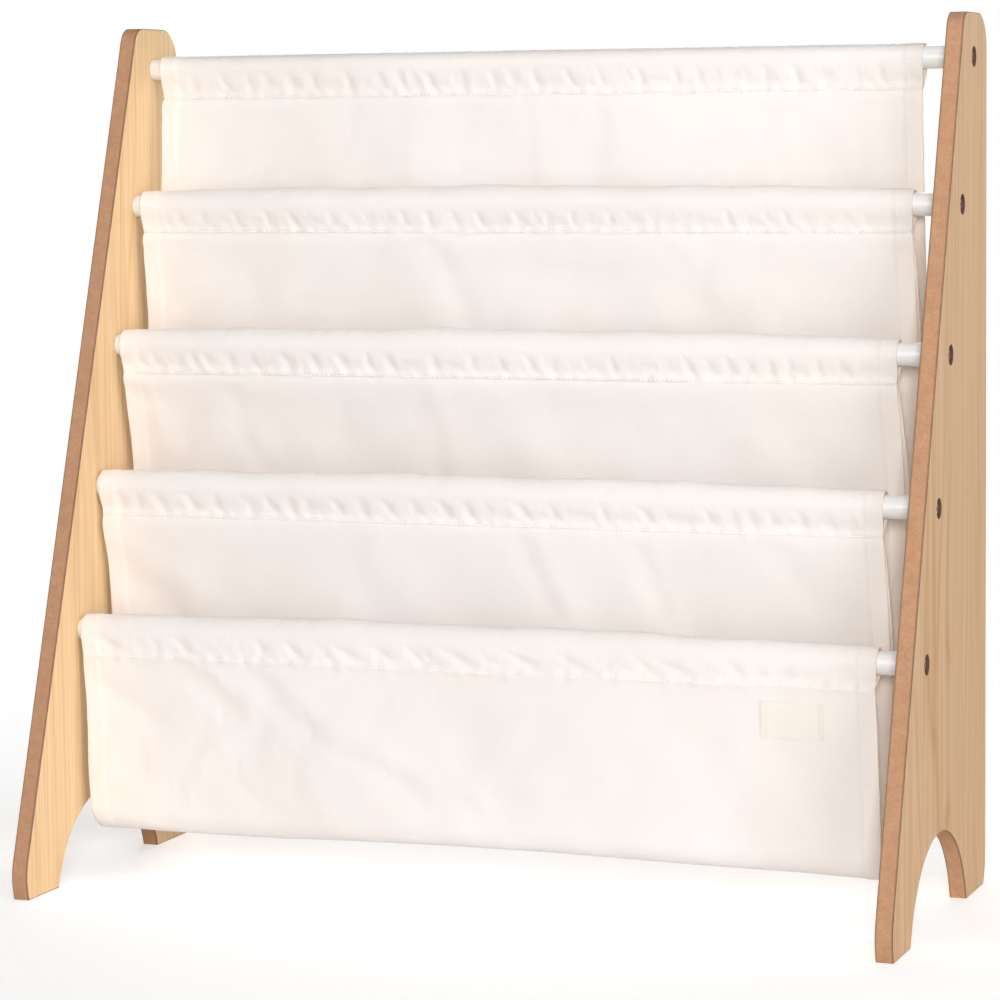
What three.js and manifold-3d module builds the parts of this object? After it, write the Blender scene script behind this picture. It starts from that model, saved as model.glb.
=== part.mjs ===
// Sling bookshelf: two arched side panels joined by five bolted tubes, and a
// cloth sling that is threaded on the tubes and hangs in four book pockets.
// Millimetres, +Z up, the front towards -Y, +X to the right of someone facing it.
// The origin is on the floor, under the middle of the frame.

import * as THREE from "three";
import { mergeVertices } from "three/addons/utils/BufferGeometryUtils.js";
import Module from "manifold-3d";

const wasm = await Module();
wasm.setup();

// Frame: overall sizes
const frameWidth = 631;
const frameHeight = 610;
const frameDepth = 268;
const boardThickness = 12;

// Side panel outline
const topDepth = 67.7;
const footRadius = 40;
const toeHeight = 15;
const heelHeight = 22;
const rearSetback = 2.3;
const topFrontRadius = 14;
const topRearRadius = 24;
const archSpan = 160;
const archRise = 61;
const archSetForward = 5.6;

// Tubes, numbered from the top
const tubeCount = 5;
const tubeDiameter = 16;
const tubeWall = 1.2;
const tubeInset = 36.5;
const topTubeDrop = 30;
const lowestTubeHeight = 180;

// Bolts and the threaded plugs that they go into
const boltDiameter = 6;
const boltLength = 20;
const boltTipChamfer = 0.8;
const boltHeadDiameter = 11;
const boltHeadHeight = 4;
const boltHeadRim = 1.4;
const boltHeadCrown = 6;
const hexKeyWidth = 4;
const hexKeyDepth = 2.2;
const recessDiameter = 13;
const recessDepth = 5.8;
const boltClearance = 0.3;
const plugLength = 18;
const plugLeadIn = 1;

// Sling, numbered from the top like the tubes
const slingGapLeft = 5.4;
const slingGapRight = 20.6;
const clothThickness = 1.2;
const seamDrop = 20;
const seamSetForward = 4;
const frontSeamSetForward = 8;
const sleevePuff = 4;
const seamSpare = 0.2;
const pocketDrop = 142;
const foldRadius = 9;
const frontFoldSetBack = 6;
const foldRise = 3;
const layerGap = 1.8;
const pocketBellyShares = [-0.12, 0.22, 0.535, 0.475];

// Soft folds that run down and across the hanging cloth
const foldWaveDepth = 1.4;
const frontFoldWaveDepth = 3.4;
const foldWaveLength = 210;
const foldWaveSlant = 420;
const foldFadeHeight = 45;

// Label patch on the front pocket
const labelWidth = 43.5;
const labelHeight = 25;
const labelThickness = 0.8;
const labelInset = 56.9;
const labelDrop = 40.5;

// Gap kept between pieces that rest on or sit in each other
const seatGap = 0.3;
const cutOverrun = 2;

// How finely round and soft shapes are divided
const arcSteps = 20;
const boltSides = 18;
const plugSides = 18;
const tubeSides = 28;
const recessSides = 24;
const slingStations = 20;
const sleeveStations = 7;
const sleeveArcSteps = 8;
const backLayerSteps = 7;
const foldSteps = 5;
const frontLayerSteps = 5;
const labelStations = 4;
const labelSteps = 3;

// Sizes worked out from those above
const outerFace = frameWidth / 2;
const innerFace = outerFace - boardThickness;
const tubeRadius = tubeDiameter / 2;
const tubeRise = (frameHeight - topTubeDrop - lowestTubeHeight) / (tubeCount - 1);
const pocketCount = tubeCount - 1;
const slingLeft = slingGapLeft - innerFace;
const slingRight = innerFace - slingGapRight;
const slingWidth = slingRight - slingLeft;
const layerSpacing = clothThickness + layerGap;
const seamThickness = layerSpacing + clothThickness + 2 * seamSpare;
const labelCentreX = slingRight - labelInset;
const labelCentreHeight = lowestTubeHeight - labelDrop;

// The straight front edge touches the toe's curve and ends at the top's front
const toeCentreY = footRadius - frameDepth / 2;
const heelCentreY = frameDepth / 2 - footRadius;
const topFrontY = frameDepth / 2 - rearSetback - topDepth;
const edgeRun = topFrontY - toeCentreY;
const edgeRise = frameHeight - toeHeight;
const frontLean =
  Math.atan2(edgeRun, edgeRise) + Math.asin(footRadius / Math.hypot(edgeRun, edgeRise));
const tubeStep = tubeRise * Math.tan(frontLean);

// Y of the panel's straight front edge at a height
function frontEdgeY(height) {
  return topFrontY - (frameHeight - height) * Math.tan(frontLean);
}

// The axis of a tube, as y and z
function tubeAxis(number) {
  const z = lowestTubeHeight + (tubeCount - number) * tubeRise;
  return { y: frontEdgeY(z) + tubeInset / Math.cos(frontLean), z };
}

// Turns a shape drawn in y and z, and extruded, so that its depth runs along +X
function depthAlongX(geometry) {
  const turn = new THREE.Matrix4().makeBasis(
    new THREE.Vector3(0, 1, 0),
    new THREE.Vector3(0, 0, 1),
    new THREE.Vector3(1, 0, 0),
  );
  return geometry.applyMatrix4(turn);
}

// A closed three.js geometry as a solid that can be cut
function solidOf(geometry) {
  const plain = geometry.clone();
  plain.deleteAttribute("normal");
  plain.deleteAttribute("uv");
  const merged = mergeVertices(plain);
  return new wasm.Manifold(new wasm.Mesh({
    numProp: 3,
    vertProperties: new Float32Array(merged.attributes.position.array),
    triVerts: new Uint32Array(merged.index.array),
  }));
}

// A cut solid back as a three.js geometry
function geometryOf(solid) {
  const mesh = solid.getMesh();
  return surface(mesh.vertProperties, mesh.triVerts);
}

// A geometry from corner positions and triangles
function surface(positions, triangles) {
  const geometry = new THREE.BufferGeometry();
  geometry.setAttribute("position", new THREE.BufferAttribute(new Float32Array(positions), 3));
  geometry.setIndex(Array.from(triangles));
  geometry.computeVertexNormals();
  return geometry;
}

// A round bar along X that is used to cut a hole
function holeCutter(diameter, fromX, toX, y, z) {
  const bar = new THREE.CylinderGeometry(diameter / 2, diameter / 2, toX - fromX, recessSides);
  bar.rotateZ(Math.PI / 2);
  bar.translate((fromX + toX) / 2, y, z);
  return solidOf(bar);
}

// A turned piece: the profile is a closed list of [radius, place along +X]
function turned(profile, sides) {
  const points = profile.map(([radius, along]) => new THREE.Vector2(radius, along));
  const geometry = new THREE.LatheGeometry(points, sides);
  return geometry.rotateZ(-Math.PI / 2);
}

// Outline of a side panel in y and z, from the heel round to the arch
function panelOutline() {
  const heelTurn = Math.asin(heelHeight / footRadius);
  const toeTurn = Math.asin(toeHeight / footRadius);
  const rearCornerY = frameDepth / 2 - rearSetback - topRearRadius;
  const frontCornerZ = frameHeight - topFrontRadius;
  const frontCornerY = frontEdgeY(frontCornerZ) + topFrontRadius / Math.cos(frontLean);
  const halfSpan = archSpan / 2;
  const archRadius = (halfSpan * halfSpan + archRise * archRise) / (2 * archRise);
  const archCentreZ = archRise - archRadius;
  const archTurn = Math.asin(-archCentreZ / archRadius);

  const outline = new THREE.Shape();
  outline.absarc(heelCentreY, heelHeight, footRadius, -heelTurn, 0, false);
  outline.absarc(rearCornerY, frameHeight - topRearRadius, topRearRadius, 0, Math.PI / 2, false);
  outline.absarc(
    frontCornerY, frontCornerZ, topFrontRadius, Math.PI / 2, Math.PI - frontLean, false);
  outline.absarc(toeCentreY, toeHeight, footRadius, Math.PI - frontLean, Math.PI + toeTurn, false);
  outline.absarc(
    -archSetForward, archCentreZ, archRadius, Math.PI - archTurn, archTurn, true);
  outline.closePath();
  return outline;
}

// Side panel: a flat board with a recessed bolt hole at each tube. The side is
// -1 for the left panel and 1 for the right, and x is 0 at its inner face.
function sidePanel(side) {
  const board = new THREE.ExtrudeGeometry(panelOutline(), {
    depth: boardThickness,
    bevelEnabled: false,
    curveSegments: arcSteps,
  });
  depthAlongX(board);
  if (side < 0) board.translate(-boardThickness, 0, 0);

  let panel = solidOf(board);
  for (let number = 1; number <= tubeCount; number += 1) {
    const { y, z } = tubeAxis(number);
    const outside = side * (boardThickness + cutOverrun);
    const inside = -side * cutOverrun;
    const recessFloor = side * (boardThickness - recessDepth);
    const hole = boltDiameter + 2 * boltClearance;
    const from = Math.min(outside, inside);
    const to = Math.max(outside, inside);
    panel = panel.subtract(holeCutter(hole, from, to, y, z));
    const recessFrom = Math.min(outside, recessFloor);
    const recessTo = Math.max(outside, recessFloor);
    panel = panel.subtract(holeCutter(recessDiameter, recessFrom, recessTo, y, z));
  }
  return geometryOf(panel);
}

// Tube: thin-walled, open at both ends, its middle at x = 0
function tube() {
  const halfLength = innerFace - seatGap;
  const bore = tubeRadius - tubeWall;
  return turned([
    [bore, -halfLength],
    [tubeRadius, -halfLength],
    [tubeRadius, halfLength],
    [bore, halfLength],
    [bore, -halfLength],
  ], tubeSides);
}

// Threaded plug: fills the end of a tube, from its outer end at x = 0 towards -X
function threadedPlug() {
  const outside = tubeRadius - tubeWall - seatGap;
  const bore = boltDiameter / 2 + boltClearance;
  return turned([
    [bore, -plugLength],
    [outside - plugLeadIn, -plugLength],
    [outside, -plugLength + plugLeadIn],
    [outside, 0],
    [bore, 0],
    [bore, -plugLength],
  ], plugSides);
}

// Hexagonal key hole in the top of a bolt head
function keyHoleCutter() {
  const radius = hexKeyWidth / Math.sqrt(3);
  const corners = 6;
  const key = new THREE.CylinderGeometry(radius, radius, hexKeyDepth + cutOverrun, corners);
  key.rotateZ(Math.PI / 2);
  key.translate(boltHeadHeight - hexKeyDepth / 2 + cutOverrun / 2, 0, 0);
  return solidOf(key);
}

// Bolt: a low domed head with a key hole. x is 0 under the head, the shank runs
// towards -X.
function bolt() {
  const shank = boltDiameter / 2;
  const head = boltHeadDiameter / 2;
  const crown = boltHeadCrown / 2;
  const shoulder = (head + crown) / 2;
  const shoulderHeight = boltHeadRim + (boltHeadHeight - boltHeadRim) * Math.SQRT1_2;
  const body = turned([
    [0, -boltLength],
    [shank - boltTipChamfer, -boltLength],
    [shank, -boltLength + boltTipChamfer],
    [shank, 0],
    [head, 0],
    [head, boltHeadRim],
    [shoulder, shoulderHeight],
    [crown, boltHeadHeight],
    [0, boltHeadHeight],
  ], boltSides);
  return geometryOf(solidOf(body).subtract(keyHoleCutter()));
}

// Where the seam under a tube lies: the middle of the sewn layers, in y and z
function seamUnder(number) {
  const axis = tubeAxis(number);
  const forward = number === tubeCount ? frontSeamSetForward : seamSetForward;
  return { y: axis.y - forward, z: axis.z - seamDrop };
}

// Soft folds: how far the cloth stands back at x and z, fading out at the seam
function foldWave(x, z, seamZ, depth) {
  const fade = Math.min(1, Math.max(0, (seamZ - z) / foldFadeHeight));
  return depth * fade * Math.sin(2 * Math.PI * (x / foldWaveLength + z / foldWaveSlant));
}

// The four pockets, worked out from the front one to the back one, because each
// front layer lies just behind the back layer of the pocket in front of it.
function pocketShapes() {
  const shapes = [];
  let inFront = null;
  for (let number = pocketCount; number >= 1; number -= 1) {
    const backSeam = seamUnder(number);
    const frontSeam = seamUnder(number + 1);
    const foldZ = tubeAxis(number + 1).z - pocketDrop + foldRadius;
    const top = frontSeam.z - seatGap;
    const shape = { number, foldZ, backTop: backSeam.z - seatGap, frontTop: top };
    if (inFront) {
      const ahead = inFront;
      shape.frontDepth = foldWaveDepth;
      shape.front = (z) => ahead.back(z) + layerSpacing;
      shape.foldY = shape.front(foldZ) + foldRadius;
    } else {
      const foldY = tubeAxis(tubeCount).y + frontFoldSetBack;
      const drop = top - foldZ;
      const travel = foldY - foldRadius - frontSeam.y;
      shape.frontDepth = frontFoldWaveDepth;
      shape.front = (z) => frontSeam.y + travel * (top - z) / drop;
      shape.foldY = foldY;
    }
    const start = backSeam.y - layerSpacing / 2;
    const travelBack = shape.foldY + foldRadius - start;
    const belly = pocketBellyShares[number - 1] * tubeStep;
    shape.back = (z) => {
      const share = (shape.backTop - z) / (shape.backTop - foldZ);
      return start + travelBack * share + belly * Math.sin(Math.PI * share);
    };
    shapes[number] = shape;
    inFront = shape;
  }
  return shapes;
}

const pockets = pocketShapes();

// How far the bottom fold lifts between the two ends of the sling
function foldLift(x) {
  const share = (x - slingLeft) / slingWidth;
  return foldRise * Math.sin(Math.PI * share);
}

// The middle line of a pocket's cloth at x: down the back layer, round the fold
// and up the front layer, as a list of [y, z]
function pocketLine(shape, x) {
  const line = [];
  const lift = foldLift(x);
  const foldZ = shape.foldZ + lift;
  for (let step = 0; step < backLayerSteps; step += 1) {
    const z = shape.backTop + (foldZ - shape.backTop) * step / backLayerSteps;
    line.push([shape.back(z) + foldWave(x, z, shape.backTop, foldWaveDepth), z]);
  }
  const rear = shape.back(foldZ) + foldWave(x, foldZ, shape.backTop, foldWaveDepth);
  const fore = shape.front(foldZ) + foldWave(x, foldZ, shape.frontTop, shape.frontDepth);
  const middle = (rear + fore) / 2;
  const radius = (rear - fore) / 2;
  for (let step = 0; step <= foldSteps; step += 1) {
    const angle = -Math.PI * step / foldSteps;
    line.push([middle + radius * Math.cos(angle), foldZ + foldRadius * Math.sin(angle)]);
  }
  for (let step = 1; step <= frontLayerSteps; step += 1) {
    const z = foldZ + (shape.frontTop - foldZ) * step / frontLayerSteps;
    line.push([shape.front(z) + foldWave(x, z, shape.frontTop, shape.frontDepth), z]);
  }
  return line;
}

// Points at an even distance to one side of a line of [y, z]
function offsetLine(line, distance) {
  return line.map(([y, z], index) => {
    const before = line[Math.max(0, index - 1)];
    const after = line[Math.min(line.length - 1, index + 1)];
    const run = [after[0] - before[0], after[1] - before[1]];
    const length = Math.hypot(run[0], run[1]);
    return [y - distance * run[1] / length, z + distance * run[0] / length];
  });
}

// A sheet of cloth as a closed solid. lineAt(x) gives the middle line at x, and
// the sheet is thickness thick, from x = left to x = left + width.
function sheetSolid(lineAt, left, width, stations, thickness) {
  const positions = [];
  const triangles = [];
  const columns = [];
  for (let station = 0; station < stations; station += 1) {
    const x = left + width * station / (stations - 1);
    const line = lineAt(x);
    const ring = [
      ...offsetLine(line, thickness / 2),
      ...offsetLine(line, -thickness / 2).reverse(),
    ];
    columns.push(ring.map(([y, z]) => positions.push(x, y, z) / 3 - 1));
  }
  joinRings(columns, triangles);
  const start = columns[0];
  const end = columns[stations - 1];
  for (let step = 0; step < start.length / 2 - 1; step += 1) {
    const far = start.length - 1 - step;
    triangles.push(start[step], start[step + 1], start[far]);
    triangles.push(start[step + 1], start[far - 1], start[far]);
    triangles.push(end[step + 1], end[step], end[far]);
    triangles.push(end[far - 1], end[step + 1], end[far]);
  }
  return surface(positions, triangles);
}

// Joins a row of equal rings with faces, ring to ring
function joinRings(rings, triangles) {
  const size = rings[0].length;
  for (let index = 0; index < rings.length - 1; index += 1) {
    for (let step = 0; step < size; step += 1) {
      const next = (step + 1) % size;
      const a = rings[index][step];
      const b = rings[index][next];
      const c = rings[index + 1][next];
      const d = rings[index + 1][step];
      triangles.push(a, d, c, a, c, b);
    }
  }
}

// The outline of a sleeve in y and z, from the front of its seam over the tube
// to the rear of its seam: a round top and two straight sides
function sleeveOutline(number, radius, puff, seamHalf, seamLift) {
  const axis = tubeAxis(number);
  const seam = seamUnder(number);
  const foot = seam.z + seamLift - axis.z;
  const frontFoot = seam.y - axis.y - seamHalf;
  const rearFoot = seam.y - axis.y + seamHalf;
  const touch = (footY) => Math.acos(radius / Math.hypot(footY, foot));
  const frontTouch = 2 * Math.PI + Math.atan2(foot, frontFoot) - touch(frontFoot);
  const rearTouch = Math.atan2(foot, rearFoot) + touch(rearFoot);
  const outline = [[seam.y - seamHalf, seam.z + seamLift]];
  for (let step = 0; step <= sleeveArcSteps; step += 1) {
    const angle = frontTouch + (rearTouch - frontTouch) * step / sleeveArcSteps;
    const lift = puff * Math.max(0, Math.sin(angle)) ** 2;
    outline.push([axis.y + radius * Math.cos(angle), axis.z + radius * Math.sin(angle) + lift]);
  }
  outline.push([seam.y + seamHalf, seam.z + seamLift]);
  return outline;
}

// Sleeve: the cloth that wraps one tube and is sewn together under it. It stands
// up a little from the tube between its ends.
function sleeve(number) {
  const positions = [];
  const triangles = [];
  const outer = [];
  const inner = [];
  const inside = tubeRadius + seatGap;
  const seamHalf = seamThickness / 2;
  for (let station = 0; station < sleeveStations; station += 1) {
    const share = station / (sleeveStations - 1);
    const x = slingLeft + slingWidth * share;
    const puff = sleevePuff * Math.sin(Math.PI * share);
    const place = ([y, z]) => positions.push(x, y, z) / 3 - 1;
    const skin = sleeveOutline(number, inside + clothThickness, puff, seamHalf, 0);
    const lining = sleeveOutline(
      number, inside, puff, seamHalf - clothThickness, clothThickness * 2);
    outer.push(skin.map(place));
    inner.push(lining.map(place));
  }
  joinRings(outer, triangles);
  joinRings(inner.map((ring) => [...ring].reverse()), triangles);
  const size = outer[0].length;
  const last = sleeveStations - 1;
  for (let step = 0; step < size; step += 1) {
    const next = (step + 1) % size;
    triangles.push(outer[0][step], outer[0][next], inner[0][next]);
    triangles.push(outer[0][step], inner[0][next], inner[0][step]);
    triangles.push(outer[last][next], outer[last][step], inner[last][next]);
    triangles.push(inner[last][next], outer[last][step], inner[last][step]);
  }
  return surface(positions, triangles);
}

// Pocket: one run of cloth between two seams, hanging in a deep fold
function pocket(number) {
  const shape = pockets[number];
  const lineAt = (x) => pocketLine(shape, x);
  return sheetSolid(lineAt, slingLeft, slingWidth, slingStations, clothThickness);
}

// Where the front face of the front pocket lies at x and z: between the two
// nearest stations of its cloth, and between the two nearest steps of each
function frontClothY(x, z) {
  const shape = pockets[pocketCount];
  const spacing = slingWidth / (slingStations - 1);
  const station = Math.floor((x - slingLeft) / spacing);
  const share = (x - slingLeft) / spacing - station;
  const [left, right] = [station, station + 1].map((index) => {
    const line = pocketLine(shape, slingLeft + spacing * index).slice(-frontLayerSteps - 1);
    const above = Math.max(1, line.findIndex((point) => point[1] > z));
    const [low, high] = [line[above - 1], line[above]];
    return low[0] + (high[0] - low[0]) * (z - low[1]) / (high[1] - low[1]);
  });
  return left + (right - left) * share;
}

// Label patch: a small bare piece of tape on the face of the front pocket
function labelPatch() {
  const standOff = (clothThickness + labelThickness) / 2 + seatGap;
  const lineAt = (x) => {
    const line = [];
    for (let step = 0; step <= labelSteps; step += 1) {
      const z = labelCentreHeight + labelHeight * (1 / 2 - step / labelSteps);
      line.push([frontClothY(x, z) - standOff, z]);
    }
    return line;
  };
  const left = labelCentreX - labelWidth / 2;
  return sheetSolid(lineAt, left, labelWidth, labelStations, labelThickness);
}

// Finishes
const boardFinish = { color: 0xdcb98a, roughness: 0.5, metalness: 0 };
const tubeFinish = { color: 0xf1f2f3, roughness: 0.32, metalness: 0.1 };
const plugFinish = { color: 0x4a4a4c, roughness: 0.6, metalness: 0 };
const boltFinish = { color: 0xb4b2ae, roughness: 0.3, metalness: 1 };
const clothFinish = { color: 0xf6ede4, roughness: 0.9, metalness: 0 };
const labelFinish = { color: 0xf7efe0, roughness: 0.8, metalness: 0 };

const bookshelf = new THREE.Group();

// Adds one named piece at its place
function addPiece(name, geometry, finish, x, y, z) {
  const mesh = new THREE.Mesh(geometry, new THREE.MeshStandardMaterial(finish));
  mesh.name = name;
  mesh.position.set(x, y, z);
  bookshelf.add(mesh);
  return mesh;
}

for (const [name, side] of [["left", -1], ["right", 1]]) {
  addPiece(`side_panel_${name}`, sidePanel(side), boardFinish, side * innerFace, 0, 0);
}

for (let number = 1; number <= tubeCount; number += 1) {
  const { y, z } = tubeAxis(number);
  addPiece(`tube_${number}`, tube(), tubeFinish, 0, y, z);
  for (const [name, side] of [["left", -1], ["right", 1]]) {
    const facing = side < 0 ? Math.PI : 0;
    const tubeEnd = side * (innerFace - seatGap);
    const plugName = `threaded_plug_${name}_${number}`;
    addPiece(plugName, threadedPlug(), plugFinish, tubeEnd, y, z).rotation.z = facing;
    const headSeat = side * (outerFace - recessDepth + seatGap);
    addPiece(`bolt_${name}_${number}`, bolt(), boltFinish, headSeat, y, z).rotation.z = facing;
  }
}

for (let number = 1; number <= tubeCount; number += 1) {
  addPiece(`sling_sleeve_${number}`, sleeve(number), clothFinish, 0, 0, 0);
}
for (let number = 1; number <= pocketCount; number += 1) {
  addPiece(`sling_pocket_${number}`, pocket(number), clothFinish, 0, 0, 0);
}
addPiece("label_patch", labelPatch(), labelFinish, 0, 0, 0);

export default bookshelf;
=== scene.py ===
# Child's sling bookshelf: the looks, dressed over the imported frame.
# Metres, +Z up, the front towards -Y, +X to the right of someone facing the shelf.
import math

import bpy
import numpy as np
from mathutils import Matrix, Vector


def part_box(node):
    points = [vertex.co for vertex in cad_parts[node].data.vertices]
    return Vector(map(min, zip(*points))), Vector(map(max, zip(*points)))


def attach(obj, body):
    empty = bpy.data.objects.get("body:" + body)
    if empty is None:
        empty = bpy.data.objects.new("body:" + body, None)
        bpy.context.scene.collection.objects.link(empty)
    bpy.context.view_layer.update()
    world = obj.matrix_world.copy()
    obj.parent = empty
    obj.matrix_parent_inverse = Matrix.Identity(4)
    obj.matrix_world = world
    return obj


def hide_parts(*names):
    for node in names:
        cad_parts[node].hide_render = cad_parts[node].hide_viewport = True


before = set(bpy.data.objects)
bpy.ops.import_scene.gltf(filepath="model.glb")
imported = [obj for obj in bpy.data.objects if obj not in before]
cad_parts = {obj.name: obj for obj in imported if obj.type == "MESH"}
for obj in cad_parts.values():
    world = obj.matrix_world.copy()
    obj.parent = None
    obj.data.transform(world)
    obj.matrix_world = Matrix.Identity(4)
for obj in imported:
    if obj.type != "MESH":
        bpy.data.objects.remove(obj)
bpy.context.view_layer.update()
bpy.ops.object.select_all(action="DESELECT")
scene = bpy.context.scene

# Camera
# A long lens, a little above the shelf and to its right. The small lens shift keeps
# the upright edges nearly as parallel as the photograph has them.
camera_place = Vector((0.86627, -2.32661, 0.53149))
camera_yaw = math.radians(20.3821)
camera_pitch = math.radians(5.0677)
camera_roll = math.radians(-0.5496)
film_width = 36
lens_length = 128.96
lens_shift = -0.05
bpy.ops.object.camera_add()
camera = bpy.context.object
camera.name = "camera"
camera.data.sensor_width = film_width
camera.data.lens = lens_length
camera.data.shift_y = lens_shift
camera_turn = (
    Matrix.Rotation(camera_yaw, 3, "Z")
    @ Matrix.Rotation(math.pi / 2 - camera_pitch, 3, "X")
    @ Matrix.Rotation(camera_roll, 3, "Z")
)
camera.matrix_world = Matrix.Translation(camera_place) @ camera_turn.to_4x4()
scene.camera = camera

# Studio
# A sweep of white paper, with one lamp behind the camera, a wide one farther to the
# right, one above and one behind the shelf. The eye sees the dome and the far floor as
# plain white, and the floor near the feet keeps their shadow.
scene.view_settings.view_transform = "Standard"
plain_white = (1, 1, 1, 1)
paper_white = (0.92, 0.92, 0.92, 1)
dome_strength = 0.03
floor_size = 14
floor_lift = 0.42
fade_from = 0.4
fade_to = 1.1
lit_point = Vector((0, 0, 0.3))
# The place of each lamp, how wide it is and its power in watts
lamps = {
    "front_lamp": ((1.42, -3.9, 1.12), 0.9, 97),
    "right_lamp": ((3.75, -2.55, 0.9), 2.7, 86),
    "top_lamp": ((0.1, -0.9, 2.6), 2.0, 16),
    "rear_lamp": ((-0.4, 2.8, 1.1), 2.4, 64),
}


def add_node(tree, kind, values=None, **settings):
    """One shader node with its settings and the values of its unlinked inputs."""
    made = tree.nodes.new(kind)
    for name, value in settings.items():
        setattr(made, name, value)
    for name, value in (values or {}).items():
        made.inputs[name].default_value = value
    return made


def link(tree, source, target):
    tree.links.new(source, target)


def white_to_the_eye(tree):
    """Factor that is 1 for rays from the eye, in gloss and through glass."""
    path = add_node(tree, "ShaderNodeLightPath")
    seen = path.outputs["Is Camera Ray"]
    for kind in ("Is Glossy Ray", "Is Transmission Ray"):
        either = add_node(tree, "ShaderNodeMath", operation="MAXIMUM")
        link(tree, seen, either.inputs[0])
        link(tree, path.outputs[kind], either.inputs[1])
        seen = either.outputs[0]
    return seen


def mix_surfaces(tree, factor, first, second):
    """The first surface where the factor is 0, and the second where it is 1."""
    made = add_node(tree, "ShaderNodeMixShader")
    for source, socket in zip((factor, first, second), made.inputs):
        link(tree, source, socket)
    return made.outputs[0]


def shining(tree, kind, strength):
    """A white shader that shines by itself."""
    return add_node(tree, kind, {"Color": plain_white, "Strength": strength}).outputs[0]


dome = bpy.data.worlds.new("white_dome")
scene.world = dome
dome.use_nodes = True
tree = dome.node_tree
tree.nodes.clear()
lighting = shining(tree, "ShaderNodeBackground", dome_strength)
backdrop = shining(tree, "ShaderNodeBackground", 1)
out = add_node(tree, "ShaderNodeOutputWorld")
link(tree, mix_surfaces(tree, white_to_the_eye(tree), lighting, backdrop), out.inputs["Surface"])

for name, (place, width, power) in lamps.items():
    bpy.ops.object.light_add(type="AREA", location=place)
    lamp = bpy.context.object
    lamp.name = name
    lamp.data.size = width
    lamp.data.energy = power
    lamp.rotation_euler = (lit_point - Vector(place)).to_track_quat("-Z", "Y").to_euler()

bpy.ops.mesh.primitive_plane_add(size=floor_size)
floor = bpy.context.object
floor.name = "floor"
paper = bpy.data.materials.new("white_paper")
paper.use_nodes = True
tree = paper.node_tree
tree.nodes.clear()
coordinates = add_node(tree, "ShaderNodeTexCoord")
distance = add_node(tree, "ShaderNodeVectorMath", operation="LENGTH")
link(tree, coordinates.outputs["Object"], distance.inputs[0])
fade = add_node(tree, "ShaderNodeMapRange", {"From Min": fade_from, "From Max": fade_to},
                interpolation_type="SMOOTHSTEP")
link(tree, distance.outputs["Value"], fade.inputs["Value"])
white = add_node(tree, "ShaderNodeBsdfDiffuse", {"Color": paper_white}).outputs[0]
near = add_node(tree, "ShaderNodeAddShader")
link(tree, white, near.inputs[0])
link(tree, shining(tree, "ShaderNodeEmission", floor_lift), near.inputs[1])
far = shining(tree, "ShaderNodeEmission", 1)
to_the_eye = mix_surfaces(tree, fade.outputs["Result"], near.outputs[0], far)
out = add_node(tree, "ShaderNodeOutputMaterial")
link(tree, mix_surfaces(tree, white_to_the_eye(tree), white, to_the_eye), out.inputs["Surface"])
floor.data.materials.append(paper)

# Side panels
# Two boards of 12 mm fibreboard, sawn and routed to shape. A maple-look foil covers
# both faces, and the routed edge is left raw, with the foil's cut line along it. The
# foil is one print, but it is painted lighter on the faces inside the shelf, as painted
# light, and darker on the outer faces, as painted shade.
board_low, board_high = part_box("side_panel_right")
board_middle = (board_low.x + board_high.x) / 2
board_thickness = board_high.x - board_low.x
foil_cut_width = 0.0007
foil_cut_depth = 0.0004
dark_line_width = 0.0015
dark_line_core_width = 0.0007
recess_radius = 0.0065
recess_reach = 0.0006
# A panel's flat faces, its worn ring and its edge are told apart by how much of a
# face's normal points across the board
face_normal = 0.9
flat_normal = 0.97
edge_normal = 0.5
worn_normal = 0.2
merge_distance = 0.00001
flat_within = math.radians(0.5)
board_smooth_within = math.radians(28)
# One foil in two shades: lighter on the inner faces as painted light, darker on the outer faces as
# painted shade
lit_inside_pale = (0.975, 0.7, 0.415)
lit_inside_deep = (0.955, 0.67, 0.385)
shaded_outside_pale = (0.875, 0.6, 0.375)
shaded_outside_deep = (0.85, 0.57, 0.345)
growth_tint = (0.87, 0.79, 0.67)
dark_line_brown = (0.2, 0.11, 0.065)
dark_line_strength = 0.6
# The printed grain: its patterns' scales along X, Y and Z, and its growth lines, which
# are pulled into tall arches about one upright line
wander_scale = (3, 11, 1.5)
patch_scale = (5, 22, 2)
band_scale = (6, 38, 0.7)
strand_scale = (20, 380, 3.5)
fibre_scale = (40, 900, 9)
lines_per_metre = 58
line_wander = 11
arch_bend = 260
arch_middle = 0.03


def surface(name, colour, settings):
    """A material with a plain surface shader: itself, its tree, shader and places."""
    made = bpy.data.materials.new(name)
    made.use_nodes = True
    tree = made.node_tree
    shader = tree.nodes["Principled BSDF"]
    shader.inputs["Base Color"].default_value = (*colour, 1)
    for setting, value in settings.items():
        shader.inputs[setting].default_value = value
    place = add_node(tree, "ShaderNodeTexCoord").outputs["Object"]
    return made, tree, shader, place


def noise(tree, place, scale, detail):
    """Soft noise. The scale is one number or one for each axis."""
    made = add_node(tree, "ShaderNodeTexNoise", {"Detail": detail})
    if isinstance(scale, tuple):
        mapping = add_node(tree, "ShaderNodeMapping", {"Scale": scale})
        link(tree, place, mapping.inputs["Vector"])
        place = mapping.outputs[0]
        scale = 1
    made.inputs["Scale"].default_value = scale
    link(tree, place, made.inputs["Vector"])
    return made.outputs["Fac"]


def ramp(tree, source, *stops):
    """A colour ramp with stops of (place, colour)."""
    made = add_node(tree, "ShaderNodeValToRGB")
    elements = made.color_ramp.elements
    while len(elements) < len(stops):
        elements.new(0.5)
    for element, (place, colour) in zip(elements, stops):
        element.position = place
        element.color = (*colour, 1)
    link(tree, source, made.inputs["Fac"])
    return made.outputs["Color"]


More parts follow.
